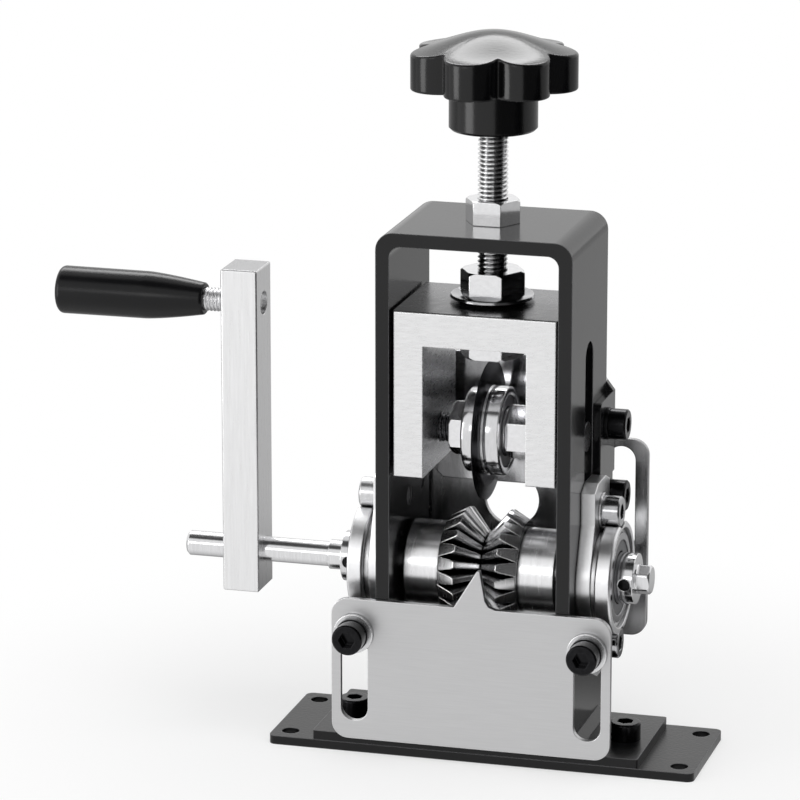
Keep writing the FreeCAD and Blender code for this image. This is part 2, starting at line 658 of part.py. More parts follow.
def make_feed_roller(side):
    """Hub with a toothed double cone; the V tooth spaces deepen from the back edge to the small end."""
    back, out = GEAR_BACK_X, ROLLER_OUT
    profile = [V(ROLLER_GAP, 0, SHAFT_R), V(ROLLER_GAP, 0, GEAR_WAIST_RADIUS),
               V(GEAR_TIP_X, 0, GEAR_TIP_RADIUS), V(back, 0, GEAR_BACK_RADIUS), V(back, 0, HUB_RADIUS),
               V(out - 0.5, 0, HUB_RADIUS), V(out, 0, HUB_RADIUS - 0.5), V(out, 0, SHAFT_R)]
    roller = Part.Face(Part.makePolygon(profile + [profile[0]])).revolve(V(0, 0, 0), X, 360)
    # a space's floor runs straight from the waist root to the back edge; its mouth is
    # GEAR_SPACE_WAIST wide at the small end and GEAR_SPACE_TIP wide at the teeth's tips
    slope = (GEAR_BACK_RADIUS - GEAR_WAIST_ROOT) / (back - ROLLER_GAP)
    x_in, x_out = -0.5, back + 0.6
    root_in = GEAR_WAIST_ROOT + slope * (x_in - ROLLER_GAP)
    root_out = GEAR_WAIST_ROOT + slope * (x_out - ROLLER_GAP)
    root_tip = GEAR_WAIST_ROOT + slope * (GEAR_TIP_X - ROLLER_GAP)
    flank_in = GEAR_SPACE_WAIST / 2 / (GEAR_WAIST_RADIUS - GEAR_WAIST_ROOT)
    flank_tip = GEAR_SPACE_TIP / 2 / (GEAR_TIP_RADIUS - root_tip)
    flank_out = flank_in + (flank_tip - flank_in) * (x_out - x_in) / (GEAR_TIP_X - x_in)
    deep_in = GEAR_WAIST_RADIUS + 2.0 - root_in
    deep_out = GEAR_TIP_RADIUS + 6.0 - root_out
    inner = [V(x_in, 0, root_in), V(x_in, -deep_in * flank_in, root_in + deep_in),
             V(x_in, deep_in * flank_in, root_in + deep_in)]
    outer = [V(x_out, 0, root_out), V(x_out, -deep_out * flank_out, root_out + deep_out),
             V(x_out, deep_out * flank_out, root_out + deep_out)]
    wedge = flat_sided_wedge(inner, outer)
    if wedge.Volume < 0:
        wedge.reverse()
    spaces = []
    for k in range(GEAR_TEETH):
        space = wedge.copy()
        space.rotate(V(0, 0, 0), X, 360.0 * k / GEAR_TEETH)
        spaces.append(space)
    roller = roller.cut(spaces)
    roller = roller.cut(rod(SET_SCREW_RADIUS, V((back + out) / 2, 0, 0), Z * -1, HUB_RADIUS + 1))
    if side < 0:
        roller = roller.mirror(V(0, 0, 0), X)
    roller.translate(V(CUT_PLANE_X, 0, SHAFT_Z))
    return roller


def make_roller_set_screws():
    middle = (GEAR_BACK_X + ROLLER_OUT) / 2
    top = SHAFT_Z - SHAFT_R - PIN_PLAY
    return group([rod(SET_SCREW_RADIUS, V(CUT_PLANE_X + s * middle, 0, top), Z * -1, ROLLER_SCREW_LENGTH)
                  for s in (-1, 1)])


def make_crank_arm():
    half_w, half_d = CRANK_WIDTH / 2, CRANK_DEPTH / 2
    low = SHAFT_Z - CRANK_OVER_SHAFT
    high = HANDLE_Z + CRANK_OVER_HANDLE
    arm = box(CRANK_X - half_w, CRANK_X + half_w, -half_d, half_d, low, high)
    arm = arm.makeChamfer(0.4, arm.Edges)
    arm = arm.cut(rod(CRANK_JOURNAL_DIA / 2, V(CRANK_X - half_w - 1, 0, SHAFT_Z), X, CRANK_WIDTH + 2))
    arm = arm.cut(rod(STUD_THREAD_DIA / 2, V(CRANK_X - half_w - 1, 0, HANDLE_Z), X, CRANK_WIDTH + 2))
    return arm.cut(rod(SET_SCREW_RADIUS, V(CRANK_X, 0, low - 1), Z, SHAFT_Z - low))


def make_crank_set_screw():
    low = SHAFT_Z - CRANK_OVER_SHAFT
    length = CRANK_OVER_SHAFT - CRANK_JOURNAL_DIA / 2 - 1.0 - PIN_PLAY
    return rod(SET_SCREW_RADIUS, V(CRANK_X, 0, low + 1.0), Z, length)


def make_handle_stud():
    arm_right = CRANK_X + CRANK_WIDTH / 2
    shoulder = GRIP_RIGHT + 0.4
    thread = rod(STUD_THREAD_DIA / 2, V(arm_right - 1.0, 0, HANDLE_Z), X * -1, arm_right - 1.0 - shoulder)
    spindle_to = GRIP_LEFT + GRIP_HEAD_POCKET - SEAT_GAP
    spindle = rod(STUD_SPINDLE_DIA / 2, V(shoulder, 0, HANDLE_Z), X * -1, shoulder - spindle_to)
    head = rod(STUD_SPINDLE_DIA / 2 + 1.4, V(spindle_to, 0, HANDLE_Z), X * -1, 2.0)
    return thread.fuse(spindle).fuse(head).removeSplitter()


def make_handle_grip():
    length = GRIP_LENGTH
    outline = [(0.0, 0.0), (0.0, GRIP_RADIUS - 2.2), (0.7, GRIP_RADIUS - 0.8), (2.6, GRIP_RADIUS),
               (0.5 * length, GRIP_RADIUS - 0.3), (0.75 * length, GRIP_RADIUS - 0.9),
               (length, GRIP_NECK_RADIUS), (length, 0.0)]
    points = [V(GRIP_LEFT + x, 0, r) for x, r in outline]
    grip = Part.Face(Part.makePolygon(points + [points[0]])).revolve(V(0, 0, 0), X, 360)
    bore = STUD_SPINDLE_DIA / 2 + RUN_FIT
    grip = grip.cut(rod(bore, V(GRIP_LEFT - 1, 0, 0), X, length + 2))
    grip = grip.cut(rod(STUD_SPINDLE_DIA / 2 + 1.7, V(GRIP_LEFT - 1, 0, 0), X, GRIP_HEAD_POCKET + 1))
    grip.translate(V(0, 0, HANDLE_Z))
    return grip


# ---- carriage and blade ---------------------------------------------------
def make_carriage_block():
    w = CARRIAGE_HALF_WIDTH
    block = box(-w, w, CARRIAGE_FRONT, CARRIAGE_BACK, CARRIAGE_LOW, BAR_HIGH)
    block = block.makeChamfer(0.4, [e for e in block.Edges if abs(e.CenterOfMass.y - CARRIAGE_FRONT) < 1e-6])
    block = block.cut(box(-CARRIAGE_LEG_INNER, CARRIAGE_LEG_INNER, CARRIAGE_FRONT - 1, CARRIAGE_BACK + 1,
                          CARRIAGE_LOW - 1, BAR_LOW))
    block = block.cut(rod(AXLE_R, V(-w - 1, 0, BLADE_Z), X, 2 * w + 2))
    return block.cut(rod(SCREW_R + RUN_FIT, V(0, 0, BAR_LOW - 1), Z, CARRIAGE_BAR_THICK + 2))


def make_blade_axle():
    axle = rod(AXLE_R, V(-AXLE_HALF_LENGTH, 0, BLADE_Z), X, 2 * AXLE_HALF_LENGTH)
    ends = [e for e in axle.Edges if abs(abs(e.CenterOfMass.x) - AXLE_HALF_LENGTH) < 1e-6]
    return axle.makeChamfer(0.8, ends)


def make_blade_axle_nuts():
    left = hex_nut(AXLE_NUT_AF, AXLE_R, V(BLADE_BEARING_LEFT, 0, BLADE_Z), X * -1, AXLE_NUT_THICK, Y)
    right = hex_nut(AXLE_NUT_AF, AXLE_R, V(BLADE_BEARING_RIGHT, 0, BLADE_Z), X, AXLE_NUT_THICK, Y)
    return group([left, right])


def blade_width():
    return BLADE_BEARING_RIGHT - BLADE_BEARING_LEFT


def make_blade_bearing_inner_ring():
    return ring(AXLE_R + BLADE_RACE_THICK, AXLE_R, V(BLADE_BEARING_LEFT, 0, BLADE_Z), X, blade_width())


def make_blade_bearing_outer_ring():
    start = V(BLADE_BEARING_LEFT + 0.3, 0, BLADE_Z)
    length = blade_width() - 0.6
    outer = rod(BLADE_BEARING_RADIUS, start, X, length)
    ends = (start.x, start.x + length)
    rims = [e for e in outer.Edges if min(abs(e.CenterOfMass.x - x) for x in ends) < 1e-6]
    outer = outer.makeChamfer(0.6, rims)
    return outer.cut(rod(BLADE_BEARING_RADIUS - BLADE_RACE_THICK, start, X, length))


def make_blade_bearing_balls():
    inner, outer = AXLE_R + BLADE_RACE_THICK, BLADE_BEARING_RADIUS - BLADE_RACE_THICK
    pitch, radius = (inner + outer) / 2, (outer - inner) / 2 - BALL_PLAY
    middle = (BLADE_BEARING_LEFT + BLADE_BEARING_RIGHT) / 2
    balls = []
    for k in range(8):
        a = math.radians(45 * k)
        balls.append(bearing_ball(radius, V(middle, pitch * math.cos(a), BLADE_Z + pitch * math.sin(a))))
    return group(balls)


def make_blade_bearing_shields():
    rings = []
    for x in (BLADE_BEARING_LEFT + 1.0, BLADE_BEARING_RIGHT - 1.4):
        rings.append(ring(BLADE_BEARING_RADIUS - BLADE_RACE_THICK, AXLE_R + BLADE_RACE_THICK + 0.3,
                          V(x, 0, BLADE_Z), X, 0.4))
    return group(rings)


def make_blade_disc():
    half, edge = BLADE_THICK / 2, 0.12
    bevel_from = BLADE_RADIUS - 5.0
    profile = [V(-half, 0, BLADE_BEARING_RADIUS), V(-half, 0, bevel_from), V(-edge, 0, BLADE_RADIUS),
               V(edge, 0, BLADE_RADIUS), V(half, 0, bevel_from), V(half, 0, BLADE_BEARING_RADIUS)]
    disc = Part.Face(Part.makePolygon(profile + [profile[0]])).revolve(V(0, 0, 0), X, 360)
    disc.translate(V(CUT_PLANE_X, 0, BLADE_Z))
    return disc


# ---- adjuster -------------------------------------------------------------
def make_dished_washer():
    """Spring washer whose rim turns up from the carriage's top."""
    r, t = DISH_RADIUS, DISH_THICK
    profile = [V(SCREW_R + RUN_FIT, 0, 0), V(r - 3.5, 0, 0), V(r, 0, 1.4), V(r - 0.4, 0, 1.4 + t * 0.7),
               V(r - 3.5, 0, t), V(SCREW_R + RUN_FIT, 0, t)]
    washer = Part.Face(Part.makePolygon(profile + [profile[0]])).revolve(V(0, 0, 0), Z, 360)
    washer.translate(V(0, 0, BAR_HIGH))
    return washer


def top_nut_low():
    return BAR_HIGH + DISH_THICK + 0.2


def make_adjusting_screw():
    low = BAR_LOW - 0.2 - BOTTOM_NUT_THICK - 0.7
    high = KNOB_RIM_LOW + 8.0
    screw = rod(SCREW_R, V(0, 0, low), Z, high - low)
    return screw.makeChamfer(0.7, [e for e in screw.Edges if abs(e.CenterOfMass.z - low) < 1e-6])


def make_carriage_top_nut():
    return hex_nut(CARRIAGE_NUT_AF, SCREW_R, V(0, 0, top_nut_low()), Z, TOP_NUT_THICK, Y)


def make_carriage_bottom_nut():
    low = BAR_LOW - 0.2 - BOTTOM_NUT_THICK
    return hex_nut(CARRIAGE_NUT_AF, SCREW_R, V(0, 0, low), Z, BOTTOM_NUT_THICK, Y)


def make_frame_nut():
    return hex_nut(FRAME_NUT_AF, SCREW_R + RUN_FIT, V(0, 0, FRAME_TOP), Z, FRAME_NUT_THICK, Y, (False, True))


def make_knob_insert():
    return ring(SCREW_R + 2.5, SCREW_R, V(0, 0, KNOB_LOW + 0.6), Z, KNOB_HUB_HEIGHT + 6.0)


def make_star_knob():
    r, h = KNOB_RADIUS, KNOB_RIM_HEIGHT
    rim_low, rim_high = KNOB_RIM_LOW, KNOB_RIM_HIGH
    edges = [Part.makeLine(V(0, 0, rim_low), V(r - 1.2, 0, rim_low)),
             Part.makeLine(V(r - 1.2, 0, rim_low), V(r, 0, rim_low + 1.2)),
             Part.makeLine(V(r, 0, rim_low + 1.2), V(r, 0, rim_high - 1.8)),
             Part.makeLine(V(r, 0, rim_high - 1.8), V(r - 1.6, 0, rim_high)),
             Part.makeLine(V(r - 1.6, 0, rim_high), V(r * 0.75, 0, rim_high + KNOB_DOME * 0.42)),
             Part.makeLine(V(r * 0.75, 0, rim_high + KNOB_DOME * 0.42),
                           V(r * 0.45, 0, rim_high + KNOB_DOME * 0.8)),
             Part.makeLine(V(r * 0.45, 0, rim_high + KNOB_DOME * 0.8), V(r * 0.2, 0, rim_high + KNOB_DOME)),
             Part.makeLine(V(r * 0.2, 0, rim_high + KNOB_DOME), V(0, 0, rim_high + KNOB_DOME)),
             Part.makeLine(V(0, 0, rim_high + KNOB_DOME), V(0, 0, rim_low))]
    head = Part.Face(Part.Wire(edges)).revolve(V(0, 0, 0), Z, 360)
    reach = KNOB_VALLEY_RADIUS + KNOB_SCALLOP_RADIUS
    for k in range(KNOB_LOBES):
        a = math.radians(-90 + 360.0 * k / KNOB_LOBES)
        centre = V(reach * math.cos(a), reach * math.sin(a), rim_low - 1)
        head = head.cut(rod(KNOB_SCALLOP_RADIUS, centre, Z, h + KNOB_DOME + 2))
    hub = rod(KNOB_HUB_RADIUS, V(0, 0, KNOB_LOW), Z, KNOB_HUB_HEIGHT)
    hub = hub.makeChamfer(0.8, [e for e in hub.Edges if abs(e.CenterOfMass.z - KNOB_LOW) < 1e-6])
    knob = head.fuse(hub).removeSplitter()
    knob = knob.cut(rod(SCREW_R + 2.5, V(0, 0, KNOB_LOW - 1), Z, KNOB_HUB_HEIGHT + 7.6))
    return knob.cut(rod(SCREW_R, V(0, 0, KNOB_LOW), Z, KNOB_HUB_HEIGHT + 8.0))


# ---- build ----------------------------------------------------------------
export("base_plate", make_base_plate())
export("riser_plate", make_riser_plate())
export("riser_screws", make_riser_screws())
export("portal_frame", make_portal_frame())
export("frame_welds", make_frame_welds())
export("front_lugs", make_front_lugs())
export("rear_lugs", make_rear_lugs())
export("front_splitter_plate", make_front_splitter_plate())
export("rear_guide_plate", make_rear_guide_plate())
make_front_fasteners()
make_rear_fasteners()
export("rear_bracket", make_rear_bracket())
export("rear_bracket_washers", make_rear_bracket_washers())
export("rear_bracket_screws", make_rear_bracket_screws())
export("bearing_housing_left", make_bearing_housing(-1))
export("bearing_housing_right", make_bearing_housing(1))
export("housing_screws_left", make_housing_screws(-1))
export("housing_screws_right", make_housing_screws(1))
export("housing_washers", make_housing_washers())
export("shaft_bearing_outer_rings", make_bearing_outer_rings())
export("shaft_bearing_balls", make_shaft_bearing_balls())
export("shaft_bearing_shields", make_shaft_bearing_shields())
export("shaft_bearing_inner_rings", make_shaft_bearing_inner_rings())
export("collar_set_screws", make_collar_set_screws())
export("drive_shaft", make_drive_shaft())
export("feed_roller_left", make_feed_roller(-1))
export("feed_roller_right", make_feed_roller(1))
export("roller_set_screws", make_roller_set_screws())
export("crank_arm", make_crank_arm())
export("crank_set_screw", make_crank_set_screw())
export("handle_stud", make_handle_stud())
export("handle_grip", make_handle_grip())
export("carriage_block", make_carriage_block())
export("blade_axle", make_blade_axle())
export("blade_axle_nuts", make_blade_axle_nuts())
export("blade_bearing_inner_ring", make_blade_bearing_inner_ring())
export("blade_bearing_outer_ring", make_blade_bearing_outer_ring())
export("blade_bearing_balls", make_blade_bearing_balls())
export("blade_bearing_shields", make_blade_bearing_shields())
export("blade_disc", make_blade_disc())
export("carriage_washer", make_dished_washer())
export("adjusting_screw", make_adjusting_screw())
export("carriage_top_nut", make_carriage_top_nut())
export("carriage_bottom_nut", make_carriage_bottom_nut())
export("frame_nut", make_frame_nut())
export("knob_insert", make_knob_insert())
export("star_knob", make_star_knob())

for name, shape in sorted(NODES.items()):
    b = shape.BoundBox
    print("%-28s solids %d valid %s  x %.1f %.1f  y %.1f %.1f  z %.1f %.1f" % (
        name, len(shape.Solids), shape.isValid(), b.XMin, b.XMax, b.YMin, b.YMax, b.ZMin, b.ZMax))
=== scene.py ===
import math

import bpy
import numpy as np
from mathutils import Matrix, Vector


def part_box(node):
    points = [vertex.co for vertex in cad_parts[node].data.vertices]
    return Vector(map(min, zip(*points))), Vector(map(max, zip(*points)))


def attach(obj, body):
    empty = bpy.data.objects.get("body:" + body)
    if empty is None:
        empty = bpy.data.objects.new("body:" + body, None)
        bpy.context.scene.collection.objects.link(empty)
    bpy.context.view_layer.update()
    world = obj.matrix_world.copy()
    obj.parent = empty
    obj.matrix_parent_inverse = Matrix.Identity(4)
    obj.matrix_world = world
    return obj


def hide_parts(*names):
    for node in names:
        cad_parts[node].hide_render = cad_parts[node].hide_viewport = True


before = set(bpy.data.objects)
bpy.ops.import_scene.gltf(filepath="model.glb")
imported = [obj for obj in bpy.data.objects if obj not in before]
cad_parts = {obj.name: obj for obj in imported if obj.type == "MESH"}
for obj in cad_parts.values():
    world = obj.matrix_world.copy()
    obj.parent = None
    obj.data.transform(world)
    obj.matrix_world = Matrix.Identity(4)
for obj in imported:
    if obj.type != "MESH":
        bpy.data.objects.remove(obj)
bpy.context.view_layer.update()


# ---- base plate and riser plate -------------------------------------------
# Two sheared steel plates screwed together and sprayed black. The lower one
# carries four bench holes, the upper one is the foot of the frame.
EDGE_RADIUS, EDGE_SAMPLES = 0.0005, 6
# rubbed wear with a painted edge highlight starts and is full where the broken edge has turned from the
# flat by these cosines
EDGE_MARK_STARTS, EDGE_MARK_FULL = 0.97, 0.84
CLOUDS_PER_METRE, CLOUD_DETAIL, CLOUD_STOPS = 38.0, 5.0, (0.35, 0.70)
PAINT_TONES, PAINT_ROUGHNESS = (0.8, 1.25), (0.8, 1.3)
PEEL_PER_METRE, PEEL_STRENGTH = 950.0, 0.12
# grey of rubbed paint on broken edges, which is also a painted edge highlight
RUBBED_PAINT_AND_HIGHLIGHT = (0.16, 0.16, 0.165)
# the sockets of a Mix node that mixes colours
SHARE, FIRST_COLOUR, SECOND_COLOUR, MIXED = 0, 6, 7, 2


def new_material(name):
    """A material with the shader that Blender gives it."""
    mat = bpy.data.materials.new(name)
    mat.use_nodes = True
    return mat


def shader(mat):
    """The material's nodes, its links and its main shader."""
    nodes = mat.node_tree.nodes
    return nodes, mat.node_tree.links, nodes["Principled BSDF"]


def ramp(n, l, value, low, high, to_low=0.0, to_high=1.0, kind="LINEAR"):
    """Carries a socket's value from the span low to high over to the span to_low to to_high."""
    step = n.new("ShaderNodeMapRange")
    step.interpolation_type = kind
    step.inputs["From Min"].default_value = low
    step.inputs["From Max"].default_value = high
    step.inputs["To Min"].default_value = to_low
    step.inputs["To Max"].default_value = to_high
    l.new(value, step.inputs["Value"])
    return step.outputs["Result"]


def noise(n, l, place, scale, detail=2.0, roughness=0.5):
    """Grey noise over the place socket."""
    grey = n.new("ShaderNodeTexNoise")
    grey.inputs["Scale"].default_value = scale
    grey.inputs["Detail"].default_value = detail
    grey.inputs["Roughness"].default_value = roughness
    l.new(place, grey.inputs["Vector"])
    return grey.outputs["Fac"]


def vary(mat, pattern, stops, tones, roughnesses):
    """The pattern socket moves the colour between two tones and the roughness between two values."""
    n, l, p = shader(mat)
    tone = n.new("ShaderNodeValToRGB")
    for element, stop, colour in zip(tone.color_ramp.elements, stops, tones):
        element.position = stop
        element.color = (*colour, 1)
    l.new(pattern, tone.inputs["Fac"])
    l.new(tone.outputs["Color"], p.inputs["Base Color"])
    l.new(ramp(n, l, pattern, 0.0, 1.0, *roughnesses), p.inputs["Roughness"])


def blend_in(mat, colour, share):
    """Takes the base colour over to another one, by the share socket."""
    n, l, p = shader(mat)
    tone = n.new("ShaderNodeMix")
    tone.data_type = "RGBA"
    tone.inputs[SECOND_COLOUR].default_value = (*colour, 1)
    l.new(p.inputs["Base Color"].links[0].from_socket, tone.inputs[FIRST_COLOUR])
    l.new(share, tone.inputs[SHARE])
    l.new(tone.outputs[MIXED], p.inputs["Base Color"])


def skin(mat, height, strength, distance, edge_wear_and_highlight):
    """Fine relief from the height socket, on edges that a file has broken by EDGE_RADIUS. Where the
    filed edge turns away from the flat beside it, it takes the given edge colour: rubbed wear and a painted
    edge highlight in one."""
    n, l, p = shader(mat)
    edge = n.new("ShaderNodeBevel")
    edge.samples = EDGE_SAMPLES
    edge.inputs["Radius"].default_value = EDGE_RADIUS
    bump = n.new("ShaderNodeBump")
    bump.inputs["Strength"].default_value = strength
    bump.inputs["Distance"].default_value = distance
    l.new(height, bump.inputs["Height"])
    l.new(edge.outputs["Normal"], bump.inputs["Normal"])
    l.new(bump.outputs["Normal"], p.inputs["Normal"])
    along = n.new("ShaderNodeVectorMath")
    along.operation = "DOT_PRODUCT"
    l.new(n.new("ShaderNodeNewGeometry").outputs["Normal"], along.inputs[0])
    l.new(edge.outputs["Normal"], along.inputs[1])
    blend_in(mat, edge_wear_and_highlight, ramp(n, l, along.outputs["Value"], EDGE_MARK_STARTS, EDGE_MARK_FULL))


def enamel(name, colour, roughness, peel=0.0007, gloss=0.5, edge_wear_and_highlight=None):
    """Baked paint or moulded plastic: roughness and tone drift, and the skin has fine orange peel.
    Broken edges take the given edge colour, rubbed wear and a painted edge highlight in one, and keep their
    own where none is given."""
    mat = new_material(name)
    n, l, p = shader(mat)
    p.inputs["Specular IOR Level"].default_value = gloss
    where = n.new("ShaderNodeTexCoord").outputs["Object"]
    clouds = noise(n, l, where, CLOUDS_PER_METRE, CLOUD_DETAIL)
    tones = [[c * share for c in colour] for share in PAINT_TONES]
    vary(mat, clouds, CLOUD_STOPS, tones, [roughness * share for share in PAINT_ROUGHNESS])
    skin(mat, noise(n, l, where, PEEL_PER_METRE), PEEL_STRENGTH, peel, edge_wear_and_highlight or colour)
    return mat


def dress(mat, *nodes):
    """Gives the frame's named nodes this material and no other."""
    for node in nodes:
        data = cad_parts[node].data
        data.materials.clear()
        data.materials.append(mat)


black_enamel = enamel("black enamel", (0.003, 0.003, 0.0034), 0.28, gloss=0.28, edge_wear_and_highlight=RUBBED_PAINT_AND_HIGHLIGHT)
dress(black_enamel, "base_plate", "riser_plate", "frame_welds")


# ---- portal frame and lugs ------------------------------------------------
# Flat bar bent to an upside-down U, with a milled slot in each side for the
# blade's axle, in the glossiest paint on the tool.
gloss_enamel = enamel("gloss black enamel", (0.004, 0.004, 0.0044), 0.16, peel=0.0003, gloss=0.34,
                      edge_wear_and_highlight=RUBBED_PAINT_AND_HIGHLIGHT)
dress(gloss_enamel, "portal_frame", "front_lugs", "rear_lugs")


# ---- splitter plate, guide plate and bracket ------------------------------
# Sheet steel: the splitter plate is brushed, the guide plate behind is dark,
# and the bracket's web is polished until it mirrors the blade.
LINE_DETAIL, LINE_ROUGHNESS, LINE_STOPS, LINE_STRENGTH = 6.0, 0.65, (0.3, 0.7), 0.25
METAL_ROUGHNESS, METAL_WEAR_AND_HIGHLIGHT, METAL_BRIGHTEST = (0.75, 1.35), 1.6, 0.97


def brushed(name, colour, roughness, stretch, metallic=1.0, contrast=0.14, depth=0.00003):
    """Brushed metal: noise drawn out along one axis moves the tone, the roughness and the bump together."""
    mat = new_material(name)
    n, l, p = shader(mat)
    p.inputs["Metallic"].default_value = metallic
    drawn = n.new("ShaderNodeMapping")
    drawn.inputs["Scale"].default_value = stretch
    l.new(n.new("ShaderNodeTexCoord").outputs["Object"], drawn.inputs["Vector"])
    lines = noise(n, l, drawn.outputs["Vector"], 1.0, LINE_DETAIL, LINE_ROUGHNESS)
    tones = [[min(1, c * share) for c in colour] for share in (1 - contrast, 1 + contrast)]
    vary(mat, lines, LINE_STOPS, tones, [roughness * share for share in METAL_ROUGHNESS])
    # broken edges are brighter: rubbed wear and a painted edge highlight in one
    skin(mat, lines, LINE_STRENGTH, depth, [min(METAL_BRIGHTEST, c * METAL_WEAR_AND_HIGHLIGHT) for c in colour])
    return mat


def calc(n, l, operation, *values):
    """One step of arithmetic, on sockets or plain numbers."""
    step = n.new("ShaderNodeMath")
    step.operation = operation
    for value, socket in zip(values, step.inputs):
        if isinstance(value, bpy.types.NodeSocket):
            l.new(value, socket)
        else:
            socket.default_value = value
    return step.outputs["Value"]


def paint_outside(mat, paint, middle, half_width):
    """Paints a metal wherever the surface lies further than half_width from x = middle."""
    n, l, p = shader(mat)
    place = n.new("ShaderNodeSeparateXYZ")
    l.new(n.new("ShaderNodeTexCoord").outputs["Object"], place.inputs["Vector"])
    reach = calc(n, l, "ABSOLUTE", calc(n, l, "SUBTRACT", place.outputs["X"], middle))
    bare = calc(n, l, "LESS_THAN", reach, half_width)
    l.new(bare, p.inputs["Metallic"])
    blend_in(mat, paint, calc(n, l, "SUBTRACT", 1.0, bare))
    return mat


plate_metal = brushed("brushed plate", (0.52, 0.52, 0.525), 0.33, (70, 300, 2400), contrast=0.04)
dress(plate_metal, "front_splitter_plate")
guide_metal = brushed("guide plate metal", (0.40, 0.40, 0.405), 0.24, (500, 300, 60), contrast=0.10)
dress(guide_metal, "rear_guide_plate")

FLANGE_SHEET, PAINT_CREEP, FLANGE_PAINT = 0.0025, 0.0001, (0.004, 0.004, 0.0045)
bracket_low, bracket_high = np.array(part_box("rear_bracket"))
bracket_middle = (bracket_low[0] + bracket_high[0]) / 2
web_half = (bracket_high[0] - bracket_low[0]) / 2 - FLANGE_SHEET - PAINT_CREEP
bracket_metal = brushed("bracket metal", (0.50, 0.50, 0.51), 0.14, (900, 200, 160), contrast=0.08)
dress(paint_outside(bracket_metal, FLANGE_PAINT, bracket_middle, web_half), "rear_bracket")


# ---- screws and washers ---------------------------------------------------
# Socket cap screws in oiled black oxide; the bearings' are nickel on the right
# and zinc on the left.
black_oxide = brushed("black oxide", (0.012, 0.012, 0.013), 0.16, (700, 700, 700), metallic=0.9,
                      contrast=0.3)
nickel = brushed("dark nickel", (0.42, 0.42, 0.43), 0.13, (700, 700, 700), contrast=0.1)
zinc = brushed("zinc plate", (0.62, 0.62, 0.63), 0.24, (500, 500, 500), contrast=0.10)
dress(black_oxide, "riser_screws", "front_plate_screws", "front_plate_lock_washers",
      "rear_plate_washers", "rear_plate_screws", "rear_bracket_washers", "rear_bracket_screws",
      "collar_set_screws", "roller_set_screws", "crank_set_screw")
dress(zinc, "housing_screws_left", "housing_washers", "front_plate_washers")
dress(nickel, "housing_screws_right")


# ---- bearing housings and bearings ----------------------------------------
# Die-cast alloy flanges with turned faces, each round a ball bearing with a
# grey seal and a collar that a set screw clamps to the shaft.
# painted shade in recesses: occlusion samples, and the occlusion values where it starts and where it is
# full
OPEN_SAMPLES, AO_UNSHADED, AO_FULLY_SHADED = 8, 0.80, 0.45


def shaded_in_recesses(mat, reach, recess_shade):
    """Painted shade: darker wherever other surfaces within reach close the metal in, as in a tooth space.
    """
    n, l = mat.node_tree.nodes, mat.node_tree.links
    open_sky = n.new("ShaderNodeAmbientOcclusion")
    open_sky.samples = OPEN_SAMPLES
    open_sky.inputs["Distance"].default_value = reach
    blend_in(mat, recess_shade, ramp(n, l, open_sky.outputs["AO"], AO_UNSHADED, AO_FULLY_SHADED))
    return mat


cast_alloy = brushed("cast alloy", (0.84, 0.84, 0.85), 0.33, (420, 420, 420), contrast=0.05,
                     depth=0.00001)
# painted shade darkens the housings' grooves and recesses
dress(shaded_in_recesses(cast_alloy, 0.0016, (0.05, 0.05, 0.05)), "bearing_housing_left", "bearing_housing_right")
ground_steel = brushed("ground steel", (0.64, 0.64, 0.65), 0.12, (1400, 300, 300), contrast=0.06)
dress(ground_steel, "shaft_bearing_inner_rings", "shaft_bearing_balls", "blade_bearing_inner_ring",
      "blade_bearing_balls")
# the outer rings are a darker steel than the inner rings
ring_steel = brushed("darker ring steel", (0.30, 0.30, 0.31), 0.16, (1400, 300, 300))
dress(ring_steel, "shaft_bearing_outer_rings")
dress(enamel("grey seal", (0.10, 0.10, 0.105), 0.45), "shaft_bearing_shields", "blade_bearing_shields")


# ---- shaft and feed rollers -----------------------------------------------
# Hardened rollers, turned with a hub each and cut with 22 bevel teeth, on a
# bright shaft that ends in a hexagon.
turned_steel = brushed("turned steel", (0.70, 0.70, 0.71), 0.12, (1800, 120, 120), contrast=0.06,
                       depth=0.00001)
dress(turned_steel, "drive_shaft")
toothed = brushed("toothed steel", (0.80, 0.80, 0.81), 0.24, (900, 120, 120), contrast=0.06,
                  depth=0.00001)
# painted shade darkens the tooth spaces
dress(shaded_in_recesses(toothed, 0.0022, (0.010, 0.010, 0.010)), "feed_roller_left", "feed_roller_right")


# ---- crank ----------------------------------------------------------------
# Square bar brushed along its length, with a threaded stud that carries a
# smooth black grip, straight over its outer half and then turned to a taper.
# painted shade on top faces starts and is full at these upward cosines of the normal
TOP_STARTS, TOP_FULL = 0.6, 0.95
SHARP = math.radians(40)


def painted_shade_on_top(mat, colour):
    """Painted shade: another, darker tone where the surface faces up."""
    n, l = mat.node_tree.nodes, mat.node_tree.links
    facing = n.new("ShaderNodeSeparateXYZ")
    l.new(n.new("ShaderNodeNewGeometry").outputs["Normal"], facing.inputs["Vector"])
    blend_in(mat, colour, ramp(n, l, facing.outputs["Z"], TOP_STARTS, TOP_FULL))


